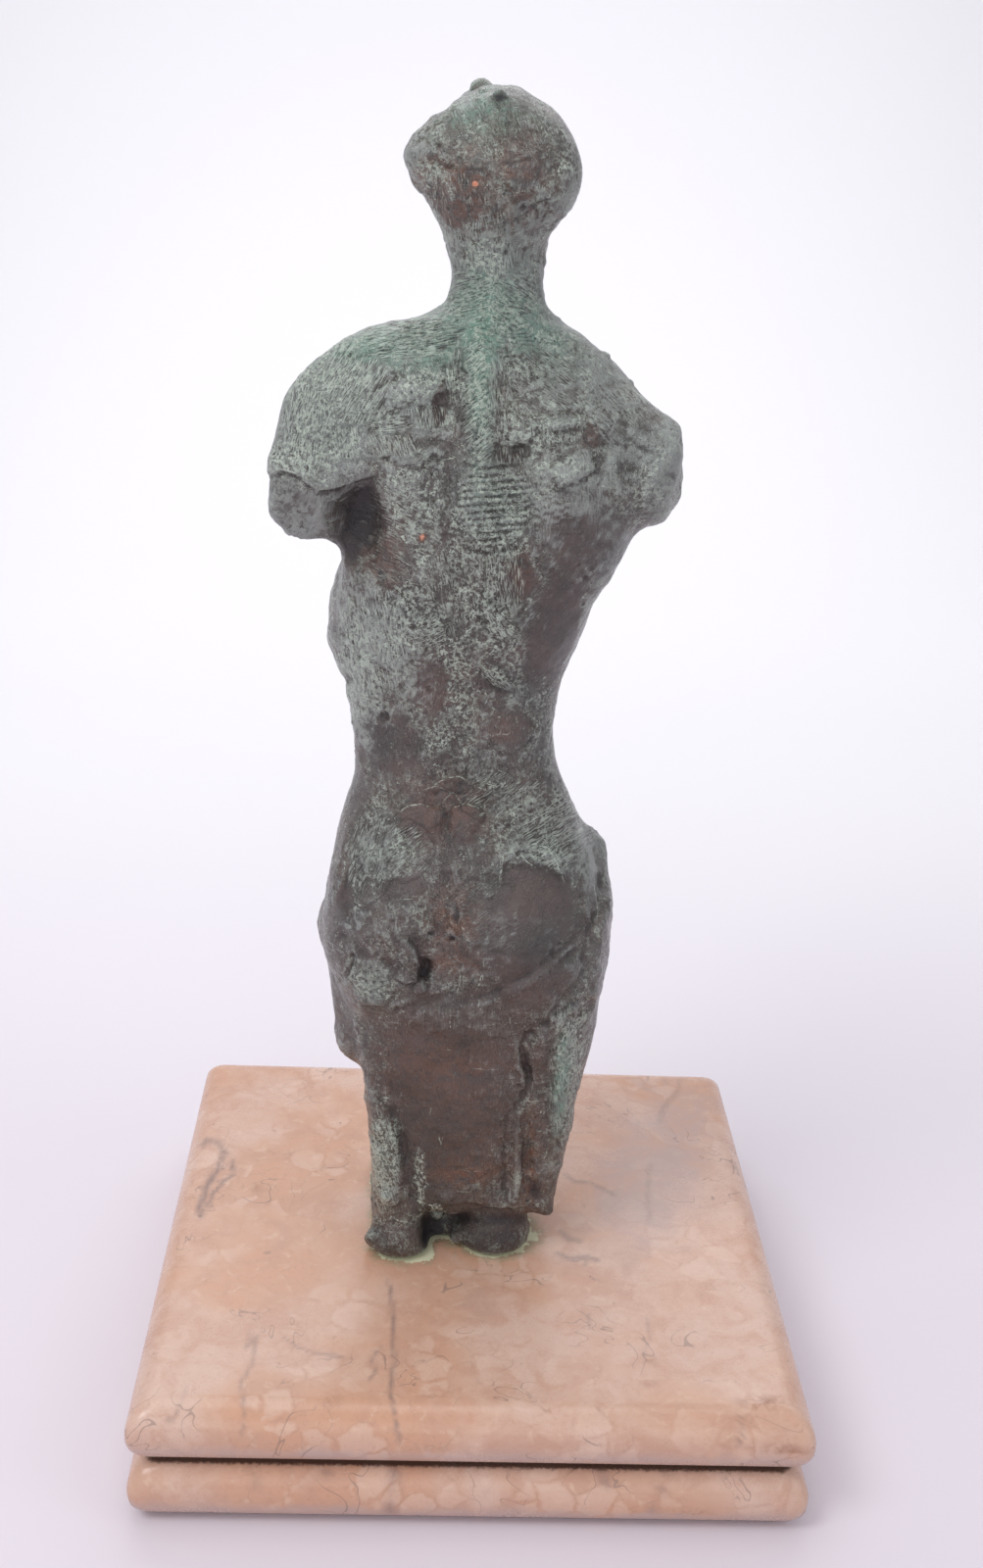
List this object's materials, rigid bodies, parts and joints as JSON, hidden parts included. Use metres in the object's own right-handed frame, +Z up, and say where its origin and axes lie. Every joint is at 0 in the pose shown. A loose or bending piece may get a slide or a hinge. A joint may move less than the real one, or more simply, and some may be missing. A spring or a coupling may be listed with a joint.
{
  "type": "draped bronze figure on a marble plinth",
  "caption": "Standing bronze figure of a draped woman without arms, green and brown patina, on a square plinth of two bullnosed marble slabs.",
  "frame": {"origin": "middle of the plinth's underside", "axes": "+Z up; the figure faces +Y and its back faces -Y; +X is on its right"},
  "size_m": [0.3, 0.3, 0.5928],
  "materials": {
    "bronze": "dark brown cast bronze with green and grey patina",
    "marble": "polished pinkish beige marble with clouds and thin grey veins"
  },
  "bodies": {
    "root": {"bronze_figure": "bronze", "plinth_upper_slab": "marble", "plinth_lower_slab": "marble"}
  },
  "joints": []
}
